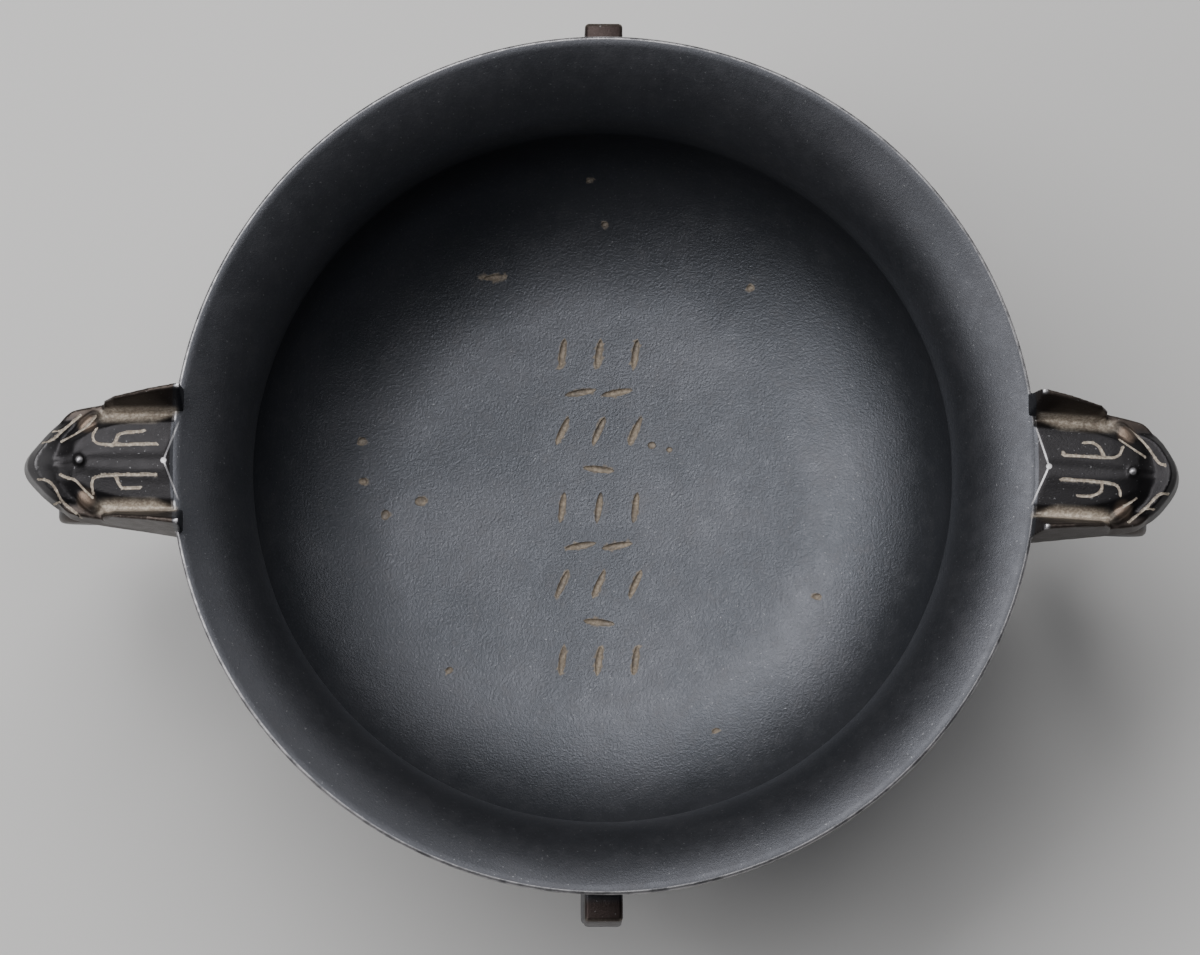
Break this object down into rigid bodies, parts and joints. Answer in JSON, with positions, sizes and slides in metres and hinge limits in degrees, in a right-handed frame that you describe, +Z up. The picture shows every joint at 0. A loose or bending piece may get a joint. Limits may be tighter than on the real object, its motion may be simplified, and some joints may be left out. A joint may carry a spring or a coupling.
{
  "type": "gui censer",
  "caption": "Round bronze censer bowl with everted rim, foot ring, beast-head loop handles and upright flanges.",
  "frame": {"origin": "centre of the foot ring's underside, on the ground", "axes": "+Z up out of the mouth, +X along the two handles, -Y the front"},
  "size_m": [0.2032, 0.158, 0.0935],
  "materials": {
    "bronze": "cast bronze with a dark brown-black patina, pale tan deposit in the recesses and worn bright edges"
  },
  "bodies": {
    "root": {"censer": "bronze"}
  },
  "joints": []
}
